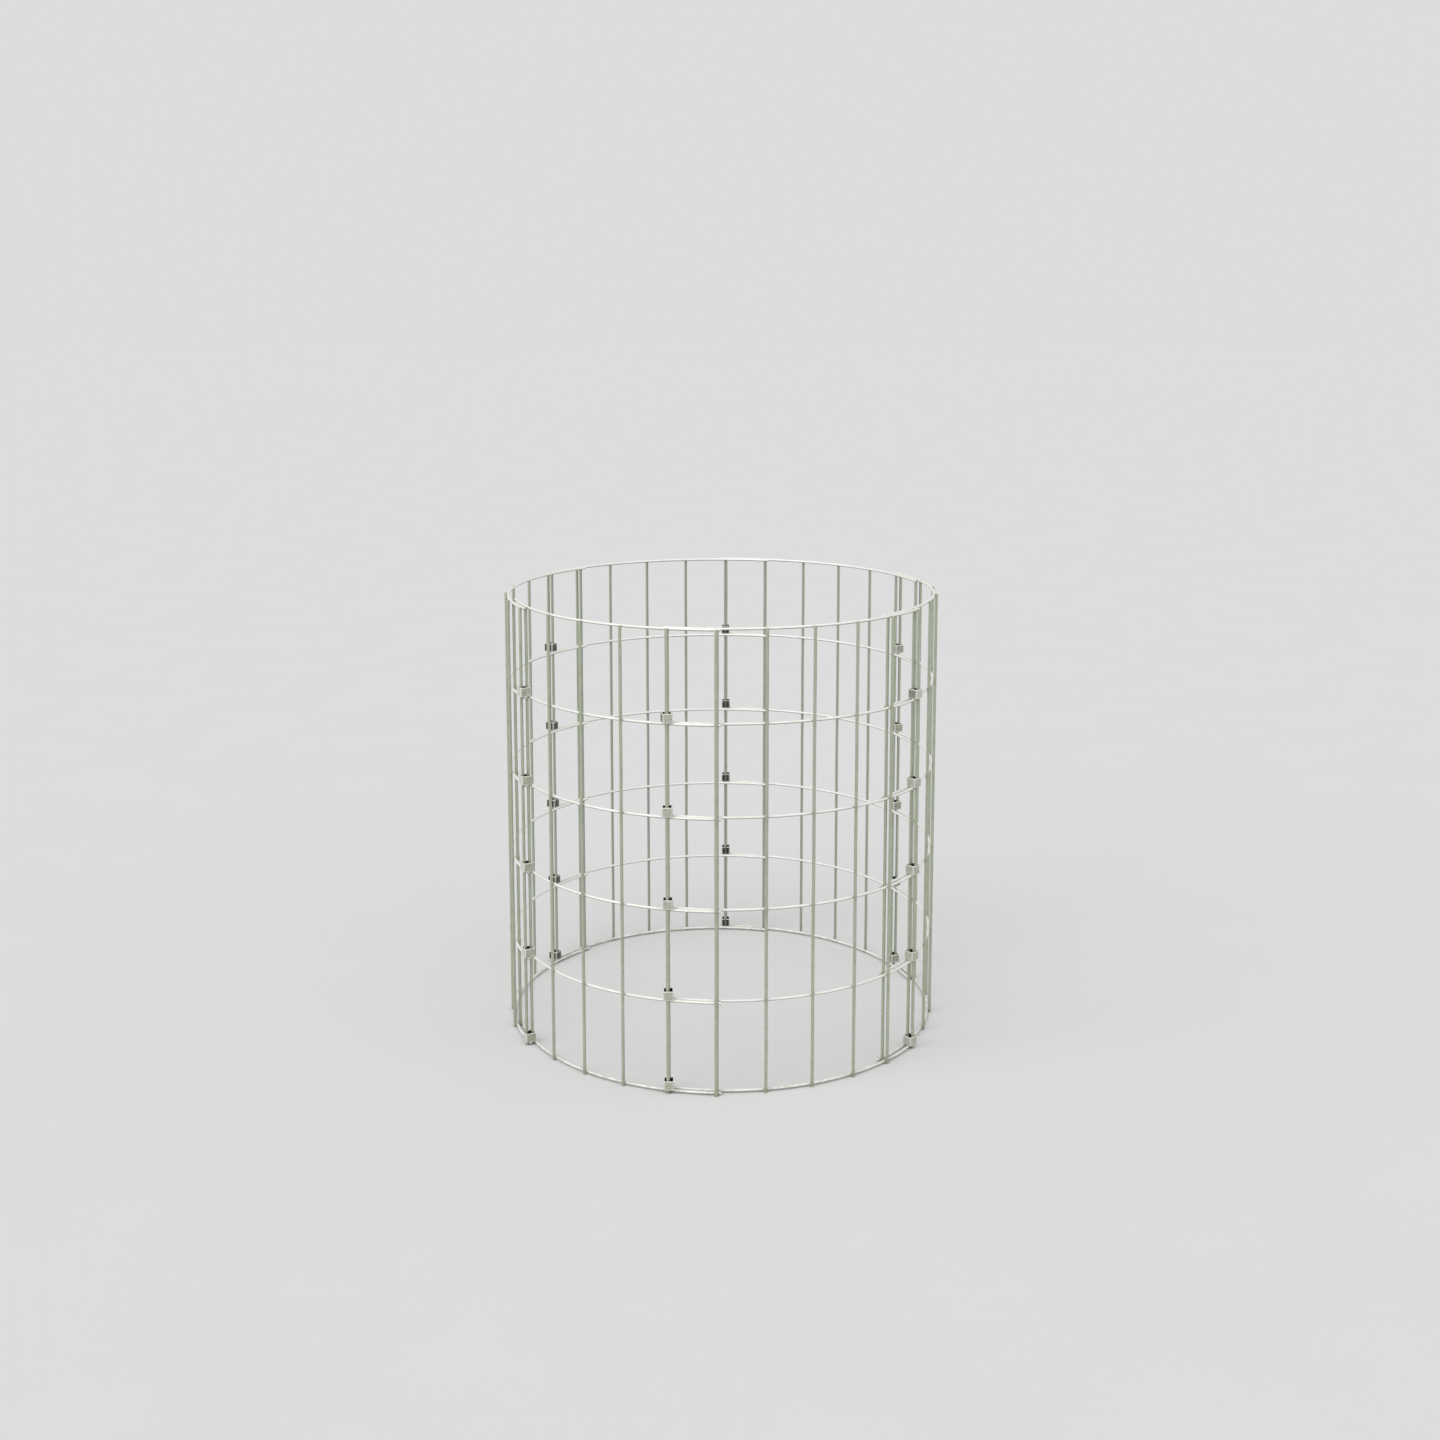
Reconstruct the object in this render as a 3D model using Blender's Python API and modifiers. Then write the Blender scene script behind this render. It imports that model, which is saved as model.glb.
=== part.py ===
"""Round garden compost bin of welded steel wire, open at the top and at the bottom.

Six equal curved mesh panels stand in a circle. A panel is seven upright rods welded on the
outside of six hoop wires. Its right end laps one mesh cell over the outside of the next
panel, and at each lap a column of folded sheet clips holds the two outermost rods together.
A clip is a loose loop: it rests on the hoops and can be pushed up to the hoops above.

Angles are measured round the upright axis from the front, which faces -Y, and grow to the
right, towards +X. Lengths are in metres.
"""

import math

import bpy
import bmesh
from mathutils import Vector

# Whole bin
BIN_DIAMETER = 1.0
PANEL_COUNT = 6
FIRST_PANEL_ANGLE = math.radians(21.5)

# Mesh of one panel
RODS_PER_PANEL = 7
LAP_CELLS = 1
HOOP_COUNT = 6
CELL_HEIGHT = 0.2
ROD_DIAMETER = 0.007
HOOP_DIAMETER = 0.006
WELD_DEPTH = 0.0005
HOOP_OVERHANG = 0.010
ROD_FOOT = 0.002
ROD_TOP = 0.001

# Clips
CLIP_WIDTH = 0.022
CLIP_HEIGHT = 0.020
CLIP_THICKNESS = 0.002
CLIP_CORNER = 0.003
CLIP_SLIT = 0.004

# Fits
LAP_GAP = 0.0003
CLIP_SIDE_GAP = 0.0003
CLIP_REST_GAP = 0.0003

# Fineness of the round shapes
WIRE_BEVEL_RESOLUTION = 2
HOOP_STEPS_PER_CELL = 2
CORNER_STEPS = 3

# Sizes that follow from the ones above
ROD_RADIUS = ROD_DIAMETER / 2
HOOP_RADIUS = HOOP_DIAMETER / 2
CELLS_PER_PANEL = RODS_PER_PANEL - 1
PANEL_TURN = 2 * math.pi / PANEL_COUNT
CELL_ANGLE = PANEL_TURN / (CELLS_PER_PANEL - LAP_CELLS)
ROD_ARC_RADIUS = BIN_DIAMETER / 2 - ROD_RADIUS
HOOP_ARC_RADIUS = ROD_ARC_RADIUS - ROD_RADIUS - HOOP_RADIUS + WELD_DEPTH
LAP_STEP = ROD_DIAMETER + HOOP_DIAMETER - WELD_DEPTH + LAP_GAP
LAP_HALF_TURN = LAP_CELLS * CELL_ANGLE / 2
PANEL_OFFSET = LAP_STEP / (2 * math.sin(PANEL_TURN / 2) * math.cos(LAP_HALF_TURN))
BOTTOM_HOOP = ROD_FOOT + HOOP_RADIUS
TOP_HOOP = BOTTOM_HOOP + CELL_HEIGHT * (HOOP_COUNT - 1)
CLIP_DEPTH = LAP_STEP + ROD_DIAMETER + 2 * (CLIP_SIDE_GAP + CLIP_THICKNESS)


def clear_scene():
    """Empties the scene, so that the script can be run again."""
    for obj in list(bpy.data.objects):
        bpy.data.objects.remove(obj, do_unlink=True)


def outward(angle):
    """Unit vector away from the upright axis at this angle from the front."""
    return Vector((math.sin(angle), -math.cos(angle), 0.0))


def sideways(angle):
    """Unit vector round the bin, towards growing angles, at this angle from the front."""
    return Vector((math.cos(angle), math.sin(angle), 0.0))


def steel(name, colour, roughness):
    """A plain zinc-coated steel."""
    material = bpy.data.materials.new(name)
    material.use_nodes = True
    shader = material.node_tree.nodes["Principled BSDF"]
    shader.inputs["Base Color"].default_value = (*colour, 1.0)
    shader.inputs["Metallic"].default_value = 1.0
    shader.inputs["Roughness"].default_value = roughness
    material.diffuse_color = (*colour, 1.0)
    return material


def wires(name, paths, radius):
    """One closed tube with flat ends along each path, all in one mesh object."""
    curve = bpy.data.curves.new(name, "CURVE")
    curve.dimensions = "3D"
    curve.bevel_depth = radius
    curve.bevel_resolution = WIRE_BEVEL_RESOLUTION
    curve.use_fill_caps = True
    for path in paths:
        spline = curve.splines.new("POLY")
        spline.points.add(len(path) - 1)
        for point, place in zip(spline.points, path):
            point.co = (*place, 1.0)
    guide = bpy.data.objects.new(name, curve)
    bpy.context.collection.objects.link(guide)
    seen = guide.evaluated_get(bpy.context.evaluated_depsgraph_get())
    mesh = bpy.data.meshes.new_from_object(seen)
    mesh.name = name
    bpy.data.objects.remove(guide, do_unlink=True)
    bpy.data.curves.remove(curve)
    body = bmesh.new()
    body.from_mesh(mesh)
    bmesh.ops.remove_doubles(body, verts=body.verts, dist=1e-6)
    bmesh.ops.recalc_face_normals(body, faces=body.faces)
    body.to_mesh(mesh)
    body.free()
    tube = bpy.data.objects.new(name, mesh)
    bpy.context.collection.objects.link(tube)
    return tube


def panel_mesh():
    """The welded mesh of one panel, round its own arc's centre, its middle at the front."""
    half = CELL_ANGLE * CELLS_PER_PANEL / 2
    rod_paths = []
    for index in range(RODS_PER_PANEL):
        foot = outward(index * CELL_ANGLE - half) * ROD_ARC_RADIUS
        top = foot + Vector((0.0, 0.0, TOP_HOOP + ROD_TOP))
        rod_paths.append([foot, top])
    end = HOOP_OVERHANG / HOOP_ARC_RADIUS
    steps = CELLS_PER_PANEL * HOOP_STEPS_PER_CELL
    angles = [-half - end]
    angles += [step * CELL_ANGLE / HOOP_STEPS_PER_CELL - half for step in range(steps + 1)]
    angles += [half + end]
    hoop_paths = []
    for index in range(HOOP_COUNT):
        height = Vector((0.0, 0.0, BOTTOM_HOOP + index * CELL_HEIGHT))
        hoop_paths.append([outward(angle) * HOOP_ARC_RADIUS + height for angle in angles])
    rods = wires("panel_rods", rod_paths, ROD_RADIUS)
    hoops = wires("panel_hoops", hoop_paths, HOOP_RADIUS)
    weld = rods.modifiers.new("weld", "BOOLEAN")
    weld.operation = "UNION"
    weld.solver = "EXACT"
    weld.object = hoops
    seen = rods.evaluated_get(bpy.context.evaluated_depsgraph_get())
    mesh = bpy.data.meshes.new_from_object(seen)
    mesh.name = "mesh_panel"
    for obj in (rods, hoops):
        source = obj.data
        bpy.data.objects.remove(obj, do_unlink=True)
        bpy.data.meshes.remove(source)
    return mesh


def clip_mesh():
    """A strip folded round two stacked rods, slit on the side that faces the bin's axis.

    The strip's middle surface is a rectangle with round corners, open at the slit, with
    x sideways, y outwards and its lower edge at z = 0. Solidify gives it its thickness.
    """
    half_width = (CLIP_WIDTH - CLIP_THICKNESS) / 2
    half_depth = (CLIP_DEPTH - CLIP_THICKNESS) / 2
    bend = CLIP_CORNER - CLIP_THICKNESS / 2
    corners = ((1, -1, -90), (1, 1, 0), (-1, 1, 90), (-1, -1, 180))
    outline = [Vector((CLIP_SLIT / 2, -half_depth, 0.0))]
    for side, front, start in corners:
        centre = Vector((side * (half_width - bend), front * (half_depth - bend), 0.0))
        for step in range(CORNER_STEPS + 1):
            turn = math.radians(start + 90 * step / CORNER_STEPS)
            outline.append(centre + bend * Vector((math.cos(turn), math.sin(turn), 0.0)))
    outline.append(Vector((-CLIP_SLIT / 2, -half_depth, 0.0)))
    strip = bmesh.new()
    line = [strip.verts.new(place) for place in outline]
    edges = [strip.edges.new(pair) for pair in zip(line, line[1:])]
    raised = bmesh.ops.extrude_edge_only(strip, edges=edges)["geom"]
    upper = [item for item in raised if isinstance(item, bmesh.types.BMVert)]
    bmesh.ops.translate(strip, verts=upper, vec=(0.0, 0.0, CLIP_HEIGHT))
    bmesh.ops.recalc_face_normals(strip, faces=strip.faces)
    flat = bpy.data.meshes.new("clip_strip")
    strip.to_mesh(flat)
    strip.free()
    folded = bpy.data.objects.new("clip_strip", flat)
    bpy.context.collection.objects.link(folded)
    thicken = folded.modifiers.new("sheet", "SOLIDIFY")
    thicken.thickness = CLIP_THICKNESS
    thicken.offset = 0.0
    thicken.use_even_offset = True
    seen = folded.evaluated_get(bpy.context.evaluated_depsgraph_get())
    mesh = bpy.data.meshes.new_from_object(seen)
    mesh.name = "clip"
    bpy.data.objects.remove(folded, do_unlink=True)
    bpy.data.meshes.remove(flat)
    return mesh


def place(name, mesh, material, location, angle, collection):
    """Adds a named copy of a shape, turned so that its front faces outwards at the angle."""
    obj = bpy.data.objects.new(name, mesh.copy())
    obj.data.name = name
    obj.data.materials.clear()
    obj.data.materials.append(material)
    obj.location = location
    obj.rotation_euler = (0.0, 0.0, angle)
    collection.objects.link(obj)
    for polygon in obj.data.polygons:
        polygon.use_smooth = True
    obj.data.set_sharp_from_angle(angle=math.radians(50))
    return obj


def panel_angle(number):
    """Where the middle of a panel stands, as seen from its own arc's centre."""
    return FIRST_PANEL_ANGLE + number * PANEL_TURN


def panel_centre(number):
    """Centre of a panel's arc: moved sideways, which puts its right end outside the next.

    At a lap two neighbours stand 2 sin(PANEL_TURN / 2) offsets apart, along the direction to
    the lap's middle. Seen at the lap's end rods, that makes one LAP_STEP outwards.
    """
    return sideways(panel_angle(number)) * PANEL_OFFSET


def rod_place(number, index):
    """Foot of one rod of one panel, with the rods counted from the left."""
    angle = panel_angle(number) + (index - CELLS_PER_PANEL / 2) * CELL_ANGLE
    return panel_centre(number) + outward(angle) * ROD_ARC_RADIUS


def clipped_rod(number):
    """The rod of a panel that its seam's clips hold: its last, or at the front seam the one before."""
    at_front = number == PANEL_COUNT - 1
    return RODS_PER_PANEL - 2 if at_front else RODS_PER_PANEL - 1


def centre_on_outline(objects):
    """Moves the bin so that the middle of its outline, seen from above, is at the origin."""
    bpy.context.view_layer.update()
    places = [obj.matrix_world @ vertex.co for obj in objects for vertex in obj.data.vertices]
    for axis in (0, 1):
        across = [place[axis] for place in places]
        middle = (min(across) + max(across)) / 2
        for obj in objects:
            obj.location[axis] -= middle


def build():
    """Places the panels, and the clips of each seam, then centres the whole bin."""
    clear_scene()
    collection = bpy.data.collections.new("compost_bin")
    bpy.context.scene.collection.children.link(collection)
    panel = panel_mesh()
    clip = clip_mesh()
    for number in range(PANEL_COUNT):
        name = f"mesh_panel_{number + 1}"
        finish = steel(name + "_wire", (0.62, 0.63, 0.60), 0.38)
        place(name, panel, finish, panel_centre(number), panel_angle(number), collection)
    for number in range(PANEL_COUNT):
        outer = rod_place(number, clipped_rod(number))
        inner = rod_place(number + 1, clipped_rod(number) - (CELLS_PER_PANEL - LAP_CELLS))
        middle = (outer + inner) / 2
        angle = math.atan2(middle.x, -middle.y)
        for level in range(HOOP_COUNT - 1):
            rest = BOTTOM_HOOP + level * CELL_HEIGHT + HOOP_RADIUS + CLIP_REST_GAP
            name = f"seam_{number + 1}_clip_{level + 1}"
            finish = steel(name + "_sheet", (0.52, 0.54, 0.48), 0.45)
            spot = middle + Vector((0.0, 0.0, rest))
            place(name, clip, finish, spot, angle, collection)
    bpy.data.meshes.remove(panel)
    bpy.data.meshes.remove(clip)
    centre_on_outline(list(collection.objects))


build()
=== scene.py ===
# %% [markdown]
# # A round compost bin of welded wire
# The real object is six curved panels of welded steel mesh that stand in a circle. Each panel
# laps one cell over the next, and a column of folded sheet clips holds each lap together.
# Everything is thin and shiny, so the look comes from three things: wires that are truly
# round, welds where they cross, and a zinc surface that mirrors a pale room softly. The solid
# model is loaded first, because it says where everything stands and how it moves.

import math

import bpy
import numpy as np
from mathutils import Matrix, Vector


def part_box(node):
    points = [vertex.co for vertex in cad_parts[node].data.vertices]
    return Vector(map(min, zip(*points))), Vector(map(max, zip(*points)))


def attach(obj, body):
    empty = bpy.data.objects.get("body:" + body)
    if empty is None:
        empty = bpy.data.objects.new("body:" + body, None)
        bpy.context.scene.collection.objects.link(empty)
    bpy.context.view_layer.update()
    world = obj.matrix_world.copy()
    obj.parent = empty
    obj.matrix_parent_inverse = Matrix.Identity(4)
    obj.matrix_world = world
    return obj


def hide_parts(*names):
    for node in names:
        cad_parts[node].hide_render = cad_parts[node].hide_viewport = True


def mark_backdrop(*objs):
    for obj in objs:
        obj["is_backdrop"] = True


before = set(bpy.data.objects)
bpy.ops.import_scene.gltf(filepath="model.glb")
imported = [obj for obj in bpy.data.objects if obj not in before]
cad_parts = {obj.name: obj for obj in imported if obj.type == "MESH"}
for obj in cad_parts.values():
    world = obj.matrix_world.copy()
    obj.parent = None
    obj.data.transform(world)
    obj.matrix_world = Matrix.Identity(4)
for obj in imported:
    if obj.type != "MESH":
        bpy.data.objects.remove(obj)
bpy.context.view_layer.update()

# %% [markdown]
# ## Sizes
# The dressed pieces take the same sizes as the solids, in metres, so that each one covers its
# solid closely. The sizes could be measured on the solids, but names for them make the
# formulas below easier to read. Only the upright axis in the middle of the bin is measured.

# %% Sizes of the wires
PANELS = 6
RODS = 7
HOOPS = 6
CELL = 0.2
OUTER_R = 0.5
ROD_R = 0.0035
HOOP_R = 0.003
WELD_DEPTH = 0.0005
OVERHANG = 0.010
FOOT_BELOW_HOOP = 0.002
TIP_ABOVE_AXIS = 0.001
BOTTOM_HOOP = FOOT_BELOW_HOOP + HOOP_R
ROD_TOP = BOTTOM_HOOP + CELL * (HOOPS - 1) + TIP_ABOVE_AXIS
ROD_ARC = OUTER_R - ROD_R
HOOP_ARC = ROD_ARC - ROD_R - HOOP_R + WELD_DEPTH
HOOP_HEIGHTS = BOTTOM_HOOP + CELL * np.arange(HOOPS)
print("hoops at, mm:", np.round(HOOP_HEIGHTS * 1000))

# %% Sizes of the laps and the clips
LAP_GAP = 0.0003
PANEL_TURN = 2 * math.pi / PANELS
CELL_TURN = PANEL_TURN / (RODS - 2)
FIRST_PANEL = math.radians(21.5)
LAP_STEP = 2 * (ROD_R + HOOP_R) - WELD_DEPTH + LAP_GAP
PANEL_OFFSET = LAP_STEP / (2 * math.sin(PANEL_TURN / 2) * math.cos(CELL_TURN / 2))
CLIP_W = 0.022
CLIP_H = 0.020
CLIP_T = 0.002
CLIP_GAP = 0.0003
CLIP_SLIT = 0.004
CLIP_CORNER = 0.003
CLIP_D = LAP_STEP + 2 * (ROD_R + CLIP_GAP + CLIP_T)
print("a clip, mm:", round(CLIP_W * 1000, 1), "wide,", round(CLIP_D * 1000, 1), "deep")

# %% The upright axis
panel_boxes = [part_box(f"mesh_panel_{n + 1}") for n in range(PANELS)]
panels_low = np.min([np.array(low) for low, high in panel_boxes], axis=0)
panels_high = np.max([np.array(high) for low, high in panel_boxes], axis=0)
CENTRE = (panels_low + panels_high) / 2 * np.array([1, 1, 0])
print("upright axis stands at, mm:", np.round(CENTRE * 1000, 2))

# %% [markdown]
# ## Directions round the bin
# Angles are measured from the front, which faces -Y, and grow towards +X, so a point at angle a
# lies in the direction (sin a, -cos a). A panel is an arc whose own centre is moved sideways.
# Its right end then passes outside the next panel, and no wire needs a bend for the lap, so
# six equal panels that are all rolled to one radius make the whole bin.

# %% Directions and the places of the rods


def outward(angle):
    """(sin a, -cos a, 0): away from the upright axis. Angles may be a whole array."""
    angle = np.asarray(angle, float)
    return np.stack([np.sin(angle), -np.cos(angle), 0 * angle], -1)


def sideways(angle):
    """(cos a, sin a, 0): round the bin, a quarter turn on from outward."""
    angle = np.asarray(angle, float)
    return np.stack([np.cos(angle), np.sin(angle), 0 * angle], -1)


UP = np.array([0.0, 0.0, 1.0])


def panel_angle(number):
    """Where a panel's middle stands round the centre of its own arc."""
    return FIRST_PANEL + number * PANEL_TURN


def panel_centre(number):
    """The centre of a panel's arc, which is moved sideways from the upright axis."""
    return CENTRE + sideways(panel_angle(number)) * PANEL_OFFSET


def rod_angle(number, index):
    """Angle of one rod on its panel's arc, rods counted from the left."""
    return panel_angle(number) + (index - (RODS - 1) / 2) * CELL_TURN


def rod_foot(number, index):
    """The point on the ground below a rod's centre line."""
    return panel_centre(number) + outward(rod_angle(number, index)) * ROD_ARC


print("arc centres lie off the axis by, mm:", round(PANEL_OFFSET * 1000, 1))

# %% [markdown]
# ## From arrays to a mesh
# Curve objects would make round wires too, but a mesh worked out as whole arrays can carry
# numbers for each point. Every surface below is a grid of points: one parameter runs along the
# piece and one runs round it. The helpers here turn such grids into faces and keep two numbers
# for each point, so that a finish can follow the form: near says how close the point is to a
# weld, and on a clip it marks the edges and bends that get a painted highlight; the second
# number is painted shade on the insides and undersides, and a little dirt on the welds.

# %% Smooth steps and faces


def ramp(value, low, high):
    """0 below low and 1 above high, and 3 s^2 - 2 s^3 of the share s between them."""
    share = np.clip((np.asarray(value, float) - low) / (high - low), 0, 1)
    return share * share * (3 - 2 * share)


def grid_faces(rows, columns, start=0, ends=True):
    """Faces of a tube: rings of points, rows of them, closed round and capped at both ends."""
    ring = np.arange(columns)
    after = np.roll(ring, -1)
    base = start + np.arange(rows - 1)[:, None] * columns
    corners = [base + ring, base + after, base + columns + after, base + columns + ring]
    faces = np.stack(corners, -1).reshape(-1, 4).tolist()
    if ends:
        faces.append((start + ring[::-1]).tolist())
        faces.append((start + (rows - 1) * columns + ring).tolist())
    return faces


print("a tube of 3 rings of 4 points has", len(grid_faces(3, 4)), "faces")

# %% Gathering grids into one piece
SHARP_FROM = math.radians(50)


class Pile:
    """Gathers several grids into one mesh, with a near value and a value of painted shade and dirt
    for each point.
    """

    def __init__(self):
        self.points, self.near, self.grime, self.faces, self.count = [], [], [], [], 0

    def add(self, grid, near, grime):
        """grid is rows x columns x 3; the near value and the painted shade value are spread over
        it.
        """
        rows, columns = grid.shape[:2]
        self.faces += grid_faces(rows, columns, self.count)
        self.points.append(grid.reshape(-1, 3))
        self.near.append(np.broadcast_to(near, (rows, columns)).ravel())
        self.grime.append(np.broadcast_to(grime, (rows, columns)).ravel())
        self.count += rows * columns

    def piece(self, name, material, body, node):
        """Makes the object, gives it its finish and lets it ride on its body."""
        mesh = bpy.data.meshes.new(name)
        mesh.from_pydata(np.concatenate(self.points), [], self.faces)
        for label, values in (("near", self.near), ("grime", self.grime)):
            layer = mesh.attributes.new(label, "FLOAT", "POINT")
            layer.data.foreach_set("value", np.concatenate(values).astype(np.float32))
        mesh.validate()
        mesh.materials.append(material)
        mesh.shade_smooth()
        mesh.set_sharp_from_angle(angle=SHARP_FROM)
        obj = bpy.data.objects.new(name, mesh)
        bpy.context.scene.collection.objects.link(obj)
        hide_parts(node)
        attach(obj, body)
        return obj


def panel_pieces(kind, material, fill):
    """Makes one piece to a panel, once fill has put that panel's grids into a pile."""
    for number in range(PANELS):
        pile = Pile()
        fill(pile, number)
        name = f"mesh_panel_{number + 1}"
        made = pile.piece(f"{name}_{kind}", material, "bin_wall", name)
    print("the", kind, "of a panel have", len(made.data.polygons), "faces")


# %% [markdown]
# ## Shader maths as plain expressions
# A node tree is hard to read, so a small class wraps a socket. Adding, multiplying or
# subtracting wrapped sockets adds the Math node, and `node` makes any other node.

# %% A socket that does arithmetic


class Signal:
    """A socket in a material, with the operators as Math nodes."""

    def __init__(self, tree, socket):
        self.tree, self.socket = tree, socket

    def node(self, kind, sockets=None, out=0, **settings):
        """Adds a node: settings first, then values or links of its sockets.

        Sockets and the output are given by name, or by number where a node has a name twice.
        """
        made = self.tree.nodes.new(kind)
        for key, value in settings.items():
            setattr(made, key, value)
        for key, value in (sockets or {}).items():
            if isinstance(value, Signal):
                self.tree.links.new(value.socket, made.inputs[key])
            else:
                made.inputs[key].default_value = value
        return Signal(self.tree, made.outputs[out])

    def maths(self, operation, *values):
        """One Math node on these values."""
        return self.node("ShaderNodeMath", dict(enumerate(values)), operation=operation)

    def __add__(self, other):
        return self.maths("ADD", self, other)

    def __sub__(self, other):
        return self.maths("SUBTRACT", self, other)

    def __mul__(self, other):
        return self.maths("MULTIPLY", self, other)

    def __rsub__(self, other):
        return self.maths("SUBTRACT", other, self)

    __radd__ = __add__
    __rmul__ = __mul__

    def clamp(self):
        """Held between 0 and 1."""
        return self.node("ShaderNodeClamp", {"Value": self})

    def step(self, low, high):
        """0 below low, 1 above high, and a smooth rise between them."""
        return self.node(
            "ShaderNodeMapRange",
            {"Value": self, "From Min": low, "From Max": high},
            interpolation_type="SMOOTHSTEP",
        )


print("a Signal has:", [name for name in vars(Signal) if not name.startswith("_")])

# %% Colours, patterns and the shader's sockets


def blend_colour(factor, first, second):
    """A Mix node between two colours, each a tuple or a Signal: its sockets 6 and 7."""
    first, second = (c if isinstance(c, Signal) else (*c, 1.0) for c in (first, second))
    return factor.node("ShaderNodeMix", {0: factor, 6: first, 7: second}, out=2, data_type="RGBA")


def new_finish(name):
    """A material with its shader, a Signal to start from and the place on the object."""
    material = bpy.data.materials.new(name)
    material.use_nodes = True
    tree = material.node_tree
    shader = tree.nodes["Principled BSDF"]
    start = Signal(tree, shader.outputs[0])
    place = start.node("ShaderNodeTexCoord", out="Object")
    return material, shader, start, place


def marked(start, label):
    """The near or grime value of the mesh's points."""
    return start.node("ShaderNodeAttribute", out="Fac", attribute_name=label)


def noise(start, place, scale, detail=3.0, rough=0.55):
    """Soft random values about 0.5, scale bumps to the metre."""
    sockets = {"Vector": place, "Scale": scale, "Detail": detail, "Roughness": rough}
    return start.node("ShaderNodeTexNoise", sockets)


def stretched(start, place, factors):
    """The place with each axis scaled, which draws a pattern out along the small ones."""
    return start.node("ShaderNodeVectorMath", {0: place, 1: factors}, operation="MULTIPLY")


def feed(shader, **links):
    """Joins Signals to the shader's sockets, written with _ for a space."""
    for key, value in links.items():
        value.tree.links.new(value.socket, shader.inputs[key.replace("_", " ")])


# %% [markdown]
# ## The zinc finish of the wires
# The mesh is dipped or plated in zinc: smooth and pale, with an olive tint in the colour that
# is a painted reflection of green ground. Up close it has fine lines along the wire from drawing
# it, cloudy patches where the zinc has dulled, a faint pattern of crystals, and small grey halos
# round the welds. The undersides of the hoops and, in a narrow line, the inside of the rods are
# painted darker as shade, and soil splashes up from the ground.
#
# An image could be painted for all this, but the wires are long and thin, and a pattern worked
# out from the place in space needs no unwrapping and has no seams. Weathered zinc is part
# mirror and part chalky white, so the rods are about two thirds metal, less where they are
# cloudy, dirty or in painted shade. The hoops are the same wire, but their colour is painted
# much whiter as light from above, and they are one third metal.

# %% Zinc on the wires: patterns, in bumps to the metre, and the colours of dirt
CLOUDS = 38.0
CRYSTALS = 420.0
SPECKS = 900.0
SOIL_SPOTS = 60.0
STAIN_SPOTS = 110.0
SOIL_HEIGHT = 0.07
SPECK_COLOUR = (0.16, 0.16, 0.14)
SOIL_COLOUR = (0.20, 0.17, 0.11)
GRAIN_DEPTH = 0.0003


def wire_finish(name, bright, dull, shade_and_stain, lines, rough, metal):
    """Zinc on drawn wire: lines is the scale of the pattern along x, y and z."""
    material, shader, start, place = new_finish(name)
    near, grime = marked(start, "near"), marked(start, "grime")
    drawn = noise(start, stretched(start, place, lines), 1.0, detail=2.0).step(0.36, 0.64)
    cloud = noise(start, place, CLOUDS, detail=4.0, rough=0.6).step(0.38, 0.68)
    cells = {"Vector": place, "Scale": CRYSTALS}
    crystals = start.node("ShaderNodeTexVoronoi", cells, out="Color")
    crystal = start.node("ShaderNodeSeparateColor", {"Color": crystals}, out="Red")
    specks = noise(start, place, SPECKS, detail=2.0).step(0.66, 0.74)
    height = start.node("ShaderNodeSeparateXYZ", {"Vector": place}, out="Z")
    splashes = noise(start, place, SOIL_SPOTS, detail=4.0).step(0.35, 0.7)
    soil = (1 - height.step(0.0, SOIL_HEIGHT)) * splashes
    uneven = noise(start, place, STAIN_SPOTS, detail=4.0).step(0.35, 0.65)
    # Painted shade: the second number darkens the hoops' undersides and the rods' inner line
    # towards the shade colour; on the welds it is a little dirt.
    shaded_and_stained = (grime * (0.72 + 0.28 * uneven)).clamp()

    patchy = (cloud * 0.60 + drawn * 0.32 + near * 0.35 + crystal * 0.18).clamp()
    colour = blend_colour(patchy, bright, dull)
    colour = blend_colour(shaded_and_stained, colour, shade_and_stain)
    colour = blend_colour(specks * 0.35, colour, SPECK_COLOUR)
    colour = blend_colour(soil * 0.35, colour, SOIL_COLOUR)
    roughness = rough + cloud * 0.10 + near * 0.12 + drawn * 0.12 + soil * 0.2 + shaded_and_stained * 0.2
    metallic = metal - cloud * 0.16 - soil * 0.3 - specks * 0.2 - shaded_and_stained * 0.1
    grain = {"Strength": 0.16, "Distance": GRAIN_DEPTH, "Height": drawn * 0.6 + crystal * 0.4}
    feed(
        shader,
        Base_Color=colour,
        Roughness=roughness.clamp(),
        Metallic=metallic.clamp(),
        Normal=start.node("ShaderNodeBump", grain),
    )
    return material


# %% Zinc on the rods and on the hoops
# The rods' olive tint is a painted reflection of green ground; their dark colour is painted shade
# on the inner line, and on the welds a little dirt.
ROD_ZINC = wire_finish(
    name="zinc_on_rods",
    bright=(0.52, 0.565, 0.44),
    dull=(0.40, 0.435, 0.33),
    shade_and_stain=(0.33, 0.35, 0.325),
    lines=(900, 900, 14),
    rough=0.26,
    metal=0.68,
)
# The hoops are the same wire as the rods, painted much whiter as light from above, and their dark
# colour is painted shade on the underside.
HOOP_ZINC_WITH_PAINTED_LIGHT = wire_finish(
    name="zinc_on_hoops_with_painted_light",
    bright=(0.92, 0.92, 0.88),
    dull=(0.84, 0.84, 0.79),
    shade_and_stain=(0.17, 0.17, 0.13),
    lines=(60, 60, 900),
    rough=0.38,
    metal=0.34,
)
print("wire finishes:", ROD_ZINC.name, HOOP_ZINC_WITH_PAINTED_LIGHT.name)

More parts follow.
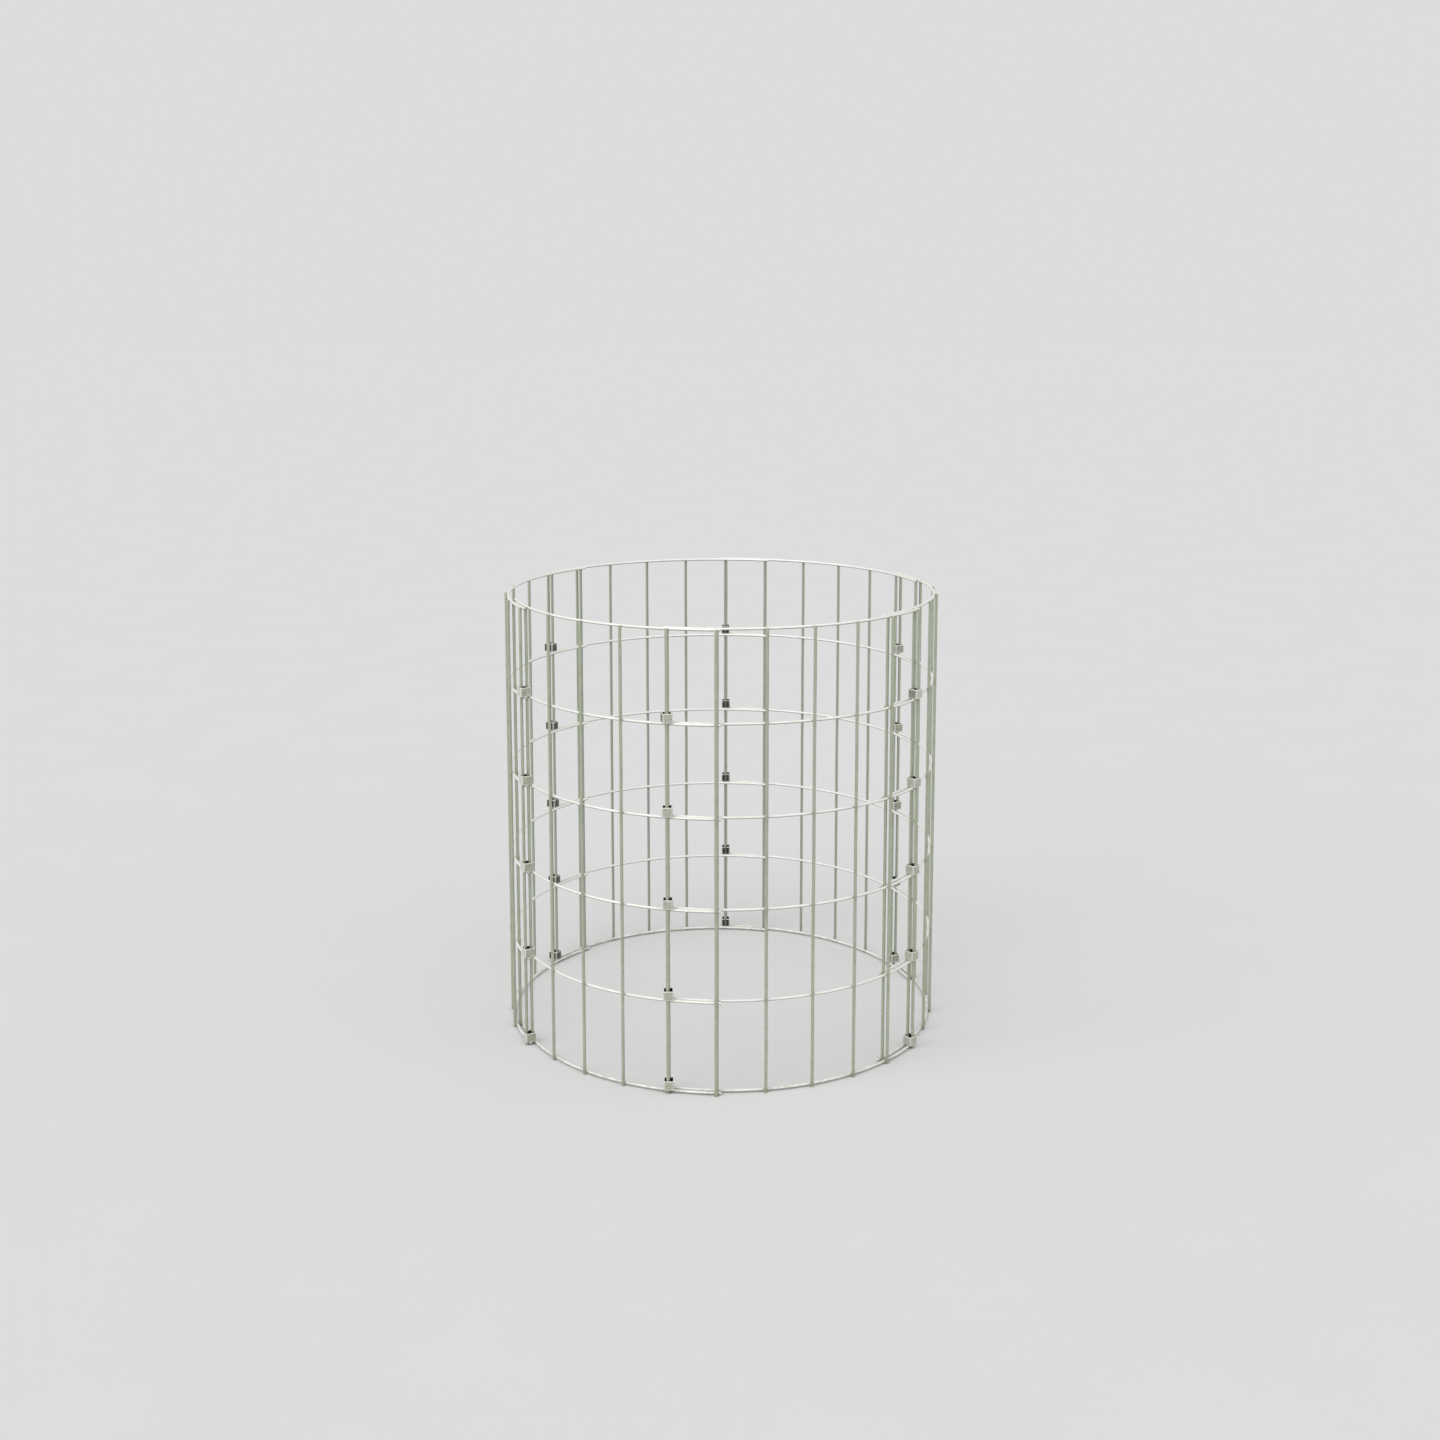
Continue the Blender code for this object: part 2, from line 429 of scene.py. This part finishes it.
# %% [markdown]
# ## The finish of the clips
# A clip is cut from rolled sheet and folded. Its outer face is a little paler than the rods
# and rougher, with the same olive tint as a painted reflection of green ground. Its cut edges
# and bends get a painted highlight, a few scuffs are worn bright, and the inside of the loop,
# the leg towards the middle of the bin and the sides get painted shade. Separate materials for
# faces, edges and inside would meet in hard lines. One material that follows the mesh's own
# numbers fades between them: near is 1 on a cut edge, and the second number is 1 in the
# painted shade inside.

# %% Zinc on the clips
SHEET_CLOUDS = 160.0
SHEET_DIRT = 320.0
SCUFF_LINES = (500, 500, 60)
SHEET_BRIGHT = (0.56, 0.59, 0.49)
SHEET_DULL = (0.43, 0.46, 0.37)
# This pale colour is a painted highlight on cut edges and bends, and real wear on the scuffs. The
# last, near-black colour is painted shade.
SHEET_GLINT_AND_WEAR = (0.95, 0.95, 0.92)
DIRT_COLOUR = (0.17, 0.16, 0.12)
SHEET_SHADE_COLOUR = (0.014, 0.016, 0.010)


def clip_finish():
    """Rolled sheet: cloudy faces, a painted highlight on cut edges and bends, painted shade
    inside.
    """
    material, shader, start, place = new_finish("zinc_on_clips")
    near, grime = marked(start, "near"), marked(start, "grime")
    cloud = noise(start, place, SHEET_CLOUDS, detail=4.0, rough=0.6).step(0.36, 0.70)
    scuffs = noise(start, stretched(start, place, SCUFF_LINES), 1.0).step(0.55, 0.75)
    dirt = noise(start, place, SHEET_DIRT).step(0.58, 0.78)

    colour = blend_colour(cloud, SHEET_BRIGHT, SHEET_DULL)
    colour = blend_colour(dirt * 0.4, colour, DIRT_COLOUR)
    # Painted shade inside the loop, on the sides and on the inner legs.
    colour = blend_colour(grime * (0.93 + 0.07 * cloud), colour, SHEET_SHADE_COLOUR)
    # Painted highlight on cut edges, bends and some outer legs, plus real wear on the scuffs.
    glint_and_wear = (near * (0.8 + 0.3 * cloud) + scuffs * 0.2 * (1 - grime)).clamp()
    colour = blend_colour(glint_and_wear, colour, SHEET_GLINT_AND_WEAR)
    roughness = 0.38 + cloud * 0.12 - glint_and_wear * 0.14 + dirt * 0.15 + grime * 0.25
    metallic = 0.75 - dirt * 0.3 - grime * 0.25 - glint_and_wear * 0.2
    grain = {"Strength": 0.15, "Distance": GRAIN_DEPTH, "Height": cloud + scuffs * 0.5}
    feed(
        shader,
        Base_Color=colour,
        Roughness=roughness.clamp(),
        Metallic=metallic.clamp(),
        Normal=start.node("ShaderNodeBump", grain),
    )
    shader.inputs["Specular IOR Level"].default_value = 0.2
    return material


CLIP_ZINC = clip_finish()
print("clip finish:", CLIP_ZINC.name)

# %% [markdown]
# ## Upright rods
# A rod is a round wire cut to length. The cutter leaves a flat end with a tiny rounded rim,
# which catches the light at the top of the bin, so the last rings shrink a little. No wire off
# a coil is quite straight, so between two welds each rod wanders a fraction of a millimetre
# sideways. A cylinder with a Bevel modifier would be straight, and its bevel would have to be
# applied before the points could get their near value, which falls off away from each weld.

# %% A round wire
WIRE_SIDES = 16
RIM = 0.0005
RIM_PLACES = np.array([0.0, 0.3, 1.0]) * RIM
RIM_SHRINK = np.array([0.8, 0.25]) * RIM
WELD_HALO = 0.009


def round_turn(sides):
    """Angles of the points round a wire."""
    return np.linspace(0, 2 * np.pi, sides, endpoint=False)


def tube(centres, across, above, radii):
    """Point (i, t): centre i plus radius i times (across cos t + above sin t)."""
    turn = round_turn(WIRE_SIDES)[None, :, None]
    ring = np.cos(turn) * across[:, None, :] + np.sin(turn) * above[:, None, :]
    return centres[:, None, :] + radii[:, None, None] * ring


def along_with_rims(first, last, inner):
    """Places along a wire, with three rings at each cut end that round its rim off."""
    return np.concatenate([first + RIM_PLACES, inner, last - RIM_PLACES[::-1]])


def rim_radii(count, radius):
    """The wire's radius at those places: 0.4 mm less at the cut, full from the third ring on."""
    radii = np.full(count, radius)
    radii[[0, -1]] -= RIM_SHRINK[0]
    radii[[1, -2]] -= RIM_SHRINK[1]
    return radii


def nearness(distance):
    """1 at a weld and falling smoothly to 0: exp of minus the square of distance over halo."""
    return np.exp(-((distance / WELD_HALO) ** 2))


print("points round a wire:", WIRE_SIDES)

# %% The rods of every panel
ROD_SEED = 10
WANDER = 0.0004
PLAIN_RINGS = 40
FIRST_RING = 0.02
WELD_RINGS = (-0.012, -0.006, 0, 0.006, 0.012)
INSIDE_SHADE_LINE = (0.5, 1.0)

close_rings = [HOOP_HEIGHTS[1:-1] + step for step in WELD_RINGS]
plain_rings = np.linspace(FIRST_RING, ROD_TOP - FIRST_RING, PLAIN_RINGS)
inner_rings = np.sort(np.concatenate([plain_rings, *close_rings]))
rod_heights = along_with_rims(0.0, ROD_TOP, inner_rings)
rod_near = nearness(np.abs(rod_heights[:, None] - HOOP_HEIGHTS).min(1))
# The cell that each ring is in, plus the share of it below the ring. The top ring is kept just
# below the end of the last cell.
rod_cell = np.clip((rod_heights - BOTTOM_HOOP) / CELL, 0, HOOPS - 1 - 1e-6)


def add_rod(pile, number, index, rng):
    """Point (z, t): the rod's foot, plus z up, plus its wander, plus the radius in direction t.

    The wander in a cell is its own amount times the square of sin(pi share), share being how
    far up the cell the point is, so it is 0 at every weld.
    """
    angle = rod_angle(number, index)
    rows = len(rod_heights)
    amounts = rng.uniform(-WANDER, WANDER, HOOPS - 1)
    wander = amounts[rod_cell.astype(int)] * np.sin(np.pi * rod_cell) ** 2
    straight = rod_foot(number, index) + rod_heights[:, None] * UP
    centres = straight + wander[:, None] * sideways(angle)
    across = np.tile(sideways(angle), (rows, 1))
    above = np.tile(outward(angle), (rows, 1))
    grid = tube(centres, across, above, rim_radii(rows, ROD_R))
    # Painted shade: a narrow line down the side of each rod that faces the middle of the bin is
    # darker.
    inside = ramp(-np.sin(round_turn(WIRE_SIDES)), *INSIDE_SHADE_LINE)
    pile.add(grid, rod_near[:, None], inside[None, :])


def add_rods(pile, number):
    """All rods of one panel, with that panel's own random draws."""
    rng = np.random.default_rng(ROD_SEED + number)
    for index in range(RODS):
        add_rod(pile, number, index, rng)


panel_pieces("rods", ROD_ZINC, add_rods)

# %% [markdown]
# ## Hoop wires
# The hoops lie inside the rods and follow the panel's arc. A hoop is the same kind of tube,
# with its centre line bent round the bin and its ends sticking out past the last rods. A torus
# cut to a sixth would need its ends closed and rounded afterwards, so the rods' helpers serve
# here too. A hoop's underside gets painted shade, darker the more it faces down.

# %% The hoops of every panel
HOOP_RINGS = 145
END_TURN = 0.004
UNDERSIDE_SHADE = (0.15, 0.65)

half_turn = (RODS - 1) / 2 * CELL_TURN + OVERHANG / HOOP_ARC
inner_places = np.linspace(-half_turn + END_TURN, half_turn - END_TURN, HOOP_RINGS) * HOOP_ARC
hoop_arc = along_with_rims(-half_turn * HOOP_ARC, half_turn * HOOP_ARC, inner_places)
rod_places = (np.arange(RODS) - (RODS - 1) / 2) * CELL_TURN * HOOP_ARC
hoop_near = nearness(np.abs(hoop_arc[:, None] - rod_places).min(1))


def add_hoop(pile, number, height):
    """Point (s, t): s is the length round the arc, t goes round the wire from outward to up."""
    angles = panel_angle(number) + hoop_arc / HOOP_ARC
    rows = len(angles)
    centres = panel_centre(number) + outward(angles) * HOOP_ARC + height * UP
    above = np.tile(UP, (rows, 1))
    grid = tube(centres, outward(angles), above, rim_radii(rows, HOOP_R))
    # Painted shade: the underside of the hoop is darker, the more it faces down.
    underside_shade = ramp(-np.sin(round_turn(WIRE_SIDES)), *UNDERSIDE_SHADE)
    pile.add(grid, hoop_near[:, None], underside_shade[None, :])


def add_hoops(pile, number):
    """All hoops of one panel."""
    for height in HOOP_HEIGHTS:
        add_hoop(pile, number, height)


panel_pieces("hoops", HOOP_ZINC_WITH_PAINTED_LIGHT, add_hoops)

# %% [markdown]
# ## Welds
# Where a rod crosses a hoop, the two were pressed together and joined by a short current. The
# metal softened there and was squeezed out into a small collar. A Boolean union with a bevel
# along it would be slow and fragile at 252 crossings. A collar is a saddle instead: its inner
# rim lies on the hoop and its outer rim on the rod. Both rims are ovals drawn on a cylinder,
# long ways across each other, and the surface between them sags inwards. At the top and the
# bottom of the bin the rods end just past the hoop, so the collar is cut off there.

# %% The weld collars of every panel
WELD_SEED = 40
COLLAR_SIDES = 18
COLLAR_ROWS = 6
COLLAR_ON_HOOP = (0.0049, 0.0023)
COLLAR_ON_ROD = (0.0026, 0.0051)
SUNK = 0.0001
SWELL_TWO = 0.10
SWELL_THREE = 0.06
SAG = 0.16
WELD_NEAR = 1.0
WELD_GRIME = 0.15


def add_weld(pile, number, index, height, rng):
    """Point (u, t): u goes from the hoop's oval to the rod's, t goes round the crossing.

    The half axes of each oval are given as (along the hoop, along the rod), and the grid is
    turned over at the end, so that its faces point out of the weld.
    """
    angle = rod_angle(number, index)
    t = round_turn(COLLAR_SIDES)
    swell = 1 + SWELL_TWO * np.sin(2 * t + rng.uniform(0, 6))
    swell = swell + SWELL_THREE * np.sin(3 * t + rng.uniform(0, 6))
    lowest, highest = RIM - height, ROD_TOP - RIM - height
    side_hoop = COLLAR_ON_HOOP[0] * np.cos(t) * swell
    rise_hoop = np.clip(COLLAR_ON_HOOP[1] * np.sin(t), lowest, highest)
    side_rod = COLLAR_ON_ROD[0] * np.cos(t)
    rise_rod = np.clip(COLLAR_ON_ROD[1] * np.sin(t) * swell, lowest, highest)
    depth_hoop = HOOP_ARC + np.sqrt(HOOP_R**2 - rise_hoop**2) - SUNK
    depth_rod = ROD_ARC - np.sqrt(ROD_R**2 - side_rod**2) + SUNK

    u = np.linspace(0, 1, COLLAR_ROWS)[:, None]
    sag = 1 - SAG * 4 * u * (1 - u)
    side = ((1 - u) * side_hoop + u * side_rod) * sag
    rise = ((1 - u) * rise_hoop + u * rise_rod) * sag
    depth = (1 - u) * depth_hoop + u * depth_rod
    grid = (panel_centre(number) + depth[..., None] * outward(angle)
            + side[..., None] * sideways(angle) + (height + rise)[..., None] * UP)
    pile.add(grid[:, ::-1], WELD_NEAR, WELD_GRIME)


def add_welds(pile, number):
    """The collars at all crossings of one panel, with that panel's own random draws."""
    rng = np.random.default_rng(WELD_SEED + number)
    for index in range(RODS):
        for height in HOOP_HEIGHTS:
            add_weld(pile, number, index, height, rng)


panel_pieces("welds", ROD_ZINC, add_welds)

# %% [markdown]
# ## Folded clips
# A clip is a strip of sheet folded into a flat loop round the two stacked rods, with a slit
# left on the inner side. A Solidify modifier on a folded plane would leave every cut edge
# square. Here a thin rounded rectangle is carried along the loop's path, so the edges come out
# rounded, and each point knows its place in the sheet, which the painted highlight and the
# painted shade need.

# %% The loop's path and the strip's section
BEND_POINTS = 9
EDGE_POINTS = 5
LOOP_STEP = 0.0016
CUT_EDGE = 0.0007
GLINT_BAND = 0.0018


def refined(line, spacing):
    """The line with extra points at even steps no longer than about the spacing."""
    fine = [line[:1]]
    for first, last in zip(line[:-1], line[1:]):
        steps = max(1, int(round(np.linalg.norm(last - first) / spacing)))
        fine.append(first + (last - first) * (np.arange(1, steps + 1) / steps)[:, None])
    return np.concatenate(fine)


def quarter_turns(half_wide, half_high, radius, steps, first_turn):
    """Four quarter circles at the corners of a rectangle, one after the other, as one line."""
    arcs = []
    inner_corner = np.array([half_wide - radius, half_high - radius])
    for corner in range(4):
        start = math.radians(first_turn + 90 * corner)
        diagonal = [math.cos(start + math.pi / 4), math.sin(start + math.pi / 4)]
        middle = np.sign(np.round(diagonal, 3)) * inner_corner
        turn = start + np.linspace(0, math.pi / 2, steps)
        arcs.append(middle + radius * np.stack([np.cos(turn), np.sin(turn)], -1))
    return np.concatenate(arcs)


def loop_path():
    """The loop's middle line, from one edge of the slit to the other, with four round bends."""
    half_w, half_d = (CLIP_W - CLIP_T) / 2, (CLIP_D - CLIP_T) / 2
    bends = quarter_turns(half_w, half_d, CLIP_CORNER - CLIP_T / 2, BEND_POINTS, -90)
    slit = np.array([[CLIP_SLIT / 2, -half_d]])
    return refined(np.concatenate([slit, bends, slit * [-1, 1]]), LOOP_STEP)


def strip_section():
    """A rounded rectangle, thickness by height, as (through, up) pairs, closer near its edges."""
    corners = quarter_turns(CLIP_T / 2, CLIP_H / 2, CUT_EDGE, EDGE_POINTS, 0)
    heights = np.array([-1, -0.5, 0, 0.5, 1]) * (CLIP_H / 2 - GLINT_BAND)
    outer_face = np.stack([0 * heights + CLIP_T / 2, heights], -1)
    upper, lower = np.split(corners, 2)
    return np.concatenate([upper, -outer_face, lower, outer_face])


LOOP = loop_path()
SECTION = strip_section()
print("points round the loop:", len(LOOP), "and round the strip:", len(SECTION))

# %% [markdown]
# ## Painted highlight and shade on a clip
# The bends and the cut edges of a clip get a painted highlight, and the inside of the loop and
# the faces turned away get painted shade. Painting this by hand on 30 clips would take long, so
# it comes from the form: from which way the sheet faces there, and from how near its edge is.

# %% Where the sheet faces, and where its highlight is painted
BEND_GLINT = 0.65
LOOP_AHEAD = np.gradient(LOOP, axis=0)
LOOP_AHEAD /= np.linalg.norm(LOOP_AHEAD, axis=1)[:, None]
LOOP_NORMAL = np.stack([LOOP_AHEAD[:, 1], -LOOP_AHEAD[:, 0]], -1)
on_inner_legs = ramp(-LOOP_NORMAL[:, 1], 0.2, 0.8)
on_sides = ramp(np.abs(LOOP_NORMAL[:, 0]), 0.75, 1.0)
on_bends = ramp(np.abs(LOOP_NORMAL), 0.1, 0.5).prod(1)
on_outer_leg = ramp(LOOP_NORMAL[:, 1], 0.8, 0.98)

outer_half = SECTION[:, 0] > 0
# Painted shade on the inner half of the sheet, inside the loop.
loop_inside_shade = ramp(-SECTION[:, 0], 0.0, CLIP_T / 2 - CUT_EDGE)
# A painted highlight along the cut edges, in a wider band on the outer half.
edge_glint_band = np.where(outer_half, GLINT_BAND, 2 * CUT_EDGE)
rim_glint = ramp(np.abs(SECTION[:, 1]), CLIP_H / 2 - edge_glint_band, CLIP_H / 2 - CUT_EDGE / 2)


def clip_glint(outer_leg):
    """Painted highlight: 1 on the cut edges, and outside the sheet 0.65 on the bends and a share
    on the outer leg.
    """
    outside = np.maximum(BEND_GLINT * on_bends, outer_leg * on_outer_leg)
    return np.maximum(rim_glint[None, :], outside[:, None] * outer_half[None, :])


def clip_grime(sides, legs):
    """Painted shade: 1 inside the loop, and outside the given shares on the two sides and on the
    inner legs.
    """
    outside = np.maximum(legs * on_inner_legs, sides * on_sides)
    return np.maximum(loop_inside_shade[None, :], outside[:, None])


print("share of a clip's points on a cut edge:", round(float((rim_glint > 0.5).mean()), 2))

# %% [markdown]
# ## How each seam's clips hang
# A clip is wider than its rods and hangs loosely, so no two stand quite alike. At the right
# seam they are turned to the left, and at the front one to the right, the top clip most. The
# seams also differ in how bright a painted highlight makes the outer leg and how dark the
# painted shade makes the sides and the inner legs. Random values alone would miss that. So each
# seam has its own values, in the order from the right seam round the back to the front one, and
# two single clips get something on top. Only a small random share is left.

# %% Turns in degrees, painted highlight and shade as shares from 0 to 1
SEAM_TURNS = (-18, 0, 0, 0, 0, 14)
SEAM_OUTER_LEG_GLINT = (0.0, 0.0, 0.0, 0.0, 0.45, 0.0)
SEAM_SIDE_SHADE = (0.04, 0.30, 0.70, 0.96, 0.12, 0.70)
SEAM_INNER_LEG_SHADE = (0.90, 0.50, 0.96, 0.78, 0.90, 0.90)
MORE_TURN = {"seam_6_clip_5": 13}
MORE_GLINT = {"seam_1_clip_5": 0.25}
MORE_SHADE = {"seam_1_clip_5": 0.42}
LOOSE_TURN = 1.5
LOOSE_SHIFT = 0.0008
SHADE_VARIES = (-0.08, 0.04)
SEEDS_TO_A_SEAM = 100
BOW = 0.00022
OUTER_LEG_FROM = CLIP_D * 0.4
print("seams with turned clips:", np.flatnonzero(SEAM_TURNS) + 1)

# %% The clips of every seam


def seam_place(number):
    """The point on the ground between a seam's two rods, and the angle its clips face.

    At the front the clips hold the last rod but one of the outer panel, elsewhere the last.
    """
    index = RODS - 2 if number == PANELS - 1 else RODS - 1
    outer_rod = rod_foot(number, index)
    inner_rod = rod_foot(number + 1, index - (RODS - 2))
    middle = (outer_rod + inner_rod) / 2
    angle = math.atan2(middle[0] - CENTRE[0], -(middle[1] - CENTRE[1]))
    return middle, angle + math.radians(SEAM_TURNS[number])


def clip_grid(middle, angle, rest, rng):
    """Point (s, c): the loop's place s, plus the section's point c through the sheet and up.

    The outer leg bows out in the middle by BOW times cos(pi x / CLIP_W).
    """
    across_face = np.cos(np.clip(LOOP[:, 0] / (CLIP_W / 2), -1, 1) * np.pi / 2)
    bow = BOW * across_face * (LOOP[:, 1] > OUTER_LEG_FROM)
    flat = LOOP + LOOP_NORMAL * bow[:, None]
    through = flat[:, None, :] + LOOP_NORMAL[:, None, :] * SECTION[None, :, :1]
    turned = angle + math.radians(rng.uniform(-LOOSE_TURN, LOOSE_TURN))
    x = through[..., :1] + rng.uniform(-LOOSE_SHIFT, LOOSE_SHIFT)
    y = through[..., 1:]
    z = rest + CLIP_H / 2 + SECTION[None, :, 1:]
    return middle + x * sideways(turned) + y * outward(turned) + z * UP


def add_clip(number, level):
    """One clip at rest, just above its hoops, with its own seed for the random draws."""
    name = f"seam_{number + 1}_clip_{level + 1}"
    middle, angle = seam_place(number)
    angle += math.radians(MORE_TURN.get(name, 0))
    rest = HOOP_HEIGHTS[level] + HOOP_R + CLIP_GAP
    rng = np.random.default_rng(SEEDS_TO_A_SEAM * number + level)
    grid = clip_grid(middle, angle, rest, rng)
    # Painted highlight on edges and bends, and painted shade inside, on the sides and on the inner
    # legs.
    glint = clip_glint(SEAM_OUTER_LEG_GLINT[number] + MORE_GLINT.get(name, 0))
    sides = SEAM_SIDE_SHADE[number] + MORE_SHADE.get(name, 0) + rng.uniform(*SHADE_VARIES)
    pile = Pile()
    pile.add(grid, glint, clip_grime(sides, SEAM_INNER_LEG_SHADE[number]))
    return pile.piece(name + "_sheet", CLIP_ZINC, name, name)


clips = [add_clip(number, level) for number in range(PANELS) for level in range(HOOPS - 1)]
print("clips:", len(clips), "with", len(clips[0].data.polygons), "faces each")

# %% [markdown]
# ## The room
# A pale floor and a pale world give the metal something soft to mirror. A photographed room
# would make livelier reflections, but it would tie the look to one place. The light is half
# from all round and half from wide, far lamps, so that the thin wires get long quiet
# highlights and not hard sparks, and the floor is lit alike everywhere. A third lamp stands
# low at the side: a mirror that stands upright never shows a high lamp, so the rods need one
# near their own level for a brighter line along them. The world that the camera and the mirror
# rays see is as bright as the lit floor, so no edge shows where the two meet.

# %% Floor
FLOOR_RINGS = (2, 8, 60)
FLOOR_SIDES = 96
FLOOR_DROP = 0.0005
FLOOR_WHITE = 0.739
FLOOR_VARIES = 0.008


def pale_floor():
    """A wide flat disc in a pale matt grey without gloss, as bright from every side."""
    turn = round_turn(FLOOR_SIDES)
    ring = np.stack([np.cos(turn), np.sin(turn), 0 * turn], -1)
    grid = np.concatenate([ring * radius for radius in FLOOR_RINGS]) - FLOOR_DROP * UP
    faces = grid_faces(len(FLOOR_RINGS), FLOOR_SIDES, ends=False)
    mesh = bpy.data.meshes.new("floor")
    mesh.from_pydata(grid, [], faces + [list(range(FLOOR_SIDES))])
    floor = bpy.data.objects.new("floor", mesh)
    bpy.context.scene.collection.objects.link(floor)
    material, shader, start, place = new_finish("pale_floor")
    soft = noise(start, place, 3.0)
    light, deep = ((FLOOR_WHITE + step,) * 3 for step in (FLOOR_VARIES, -FLOOR_VARIES))
    feed(shader, Base_Color=blend_colour(soft, light, deep))
    shader.inputs["Roughness"].default_value = 1.0
    shader.inputs["Specular IOR Level"].default_value = 0.0
    mesh.materials.append(material)
    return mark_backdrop(floor)


pale_floor()
print("floor reaches, m:", FLOOR_RINGS[-1])

# %% World and lamps
ALL_ROUND = 0.48
SEEN_WHITE = 0.722
SEEING_RAYS = ("Is Camera Ray", "Is Glossy Ray", "Is Transmission Ray")


def pale_world():
    """Plain light from all round; the camera, mirror and glass rays see a pale room."""
    world = bpy.data.worlds.new("pale_room")
    world.use_nodes = True
    bpy.context.scene.world = world
    tree = world.node_tree
    back = tree.nodes["Background"]
    start = Signal(tree, back.outputs[0])
    seen, mirrored, through = (start.node("ShaderNodeLightPath", out=ray) for ray in SEEING_RAYS)
    shown = seen.maths("MAXIMUM", seen.maths("MAXIMUM", seen, mirrored), through)
    strength = shown * (SEEN_WHITE - ALL_ROUND) + ALL_ROUND
    tree.links.new(strength.socket, back.inputs["Strength"])
    back.inputs["Color"].default_value = (1.0, 1.0, 1.0, 1.0)


def wide_lamp(name, azimuth, tilt, strength, width):
    """A far lamp, as wide as a bright patch of cloud: tilt is its angle from straight above."""
    data = bpy.data.lights.new(name, "SUN")
    data.energy = strength
    data.angle = math.radians(width)
    lamp = bpy.data.objects.new(name, data)
    level, rise = math.sin(math.radians(tilt)), math.cos(math.radians(tilt))
    towards = Vector((*(outward(math.radians(azimuth))[:2] * level), rise))
    lamp.rotation_euler = towards.to_track_quat("Z", "Y").to_euler()
    bpy.context.scene.collection.objects.link(lamp)
    return lamp


pale_world()
lamps = [
    wide_lamp("key_lamp", azimuth=-44, tilt=46, strength=1.00, width=50),
    wide_lamp("top_lamp", azimuth=45, tilt=34, strength=0.90, width=70),
    wide_lamp("low_lamp", azimuth=-72, tilt=74, strength=0.45, width=30),
]
print("lamps:", [lamp.name for lamp in lamps])

# %% [markdown]
# ## The camera
# It stands four metres in front, at the height of the eyes, and looks down a little, as in the
# photograph. Tilting it until the bin is in the middle would make the rods lean together, so
# its lens is shifted down instead, because the photograph keeps the rods nearly upright.

# %% Camera
IMAGE = 1440
RADIUS = 0.4975
AWAY = 8 * RADIUS
EYE_ABOVE_TOP = 1.332 * RADIUS
FOCAL_PX = 1730.3
CENTRE_COLUMN = 721.7
CENTRE_ROW = 544
DOWNWARD = 7.932
FAR_END = 200
optics = bpy.data.cameras.new("camera")
optics.sensor_width = 36.0
optics.lens = FOCAL_PX / IMAGE * optics.sensor_width
optics.shift_x = (IMAGE / 2 - CENTRE_COLUMN) / IMAGE
optics.shift_y = (CENTRE_ROW - IMAGE / 2) / IMAGE
optics.clip_end = FAR_END
camera = bpy.data.objects.new("camera", optics)
camera.location = (0.0, -AWAY, HOOP_HEIGHTS[-1] + EYE_ABOVE_TOP)
camera.rotation_euler = (math.radians(90 - DOWNWARD), 0.0, 0.0)
bpy.context.scene.collection.objects.link(camera)
bpy.context.scene.camera = camera
bpy.context.scene.view_settings.view_transform = "Standard"
print("lens, mm:", round(optics.lens, 1))

# %% [markdown]
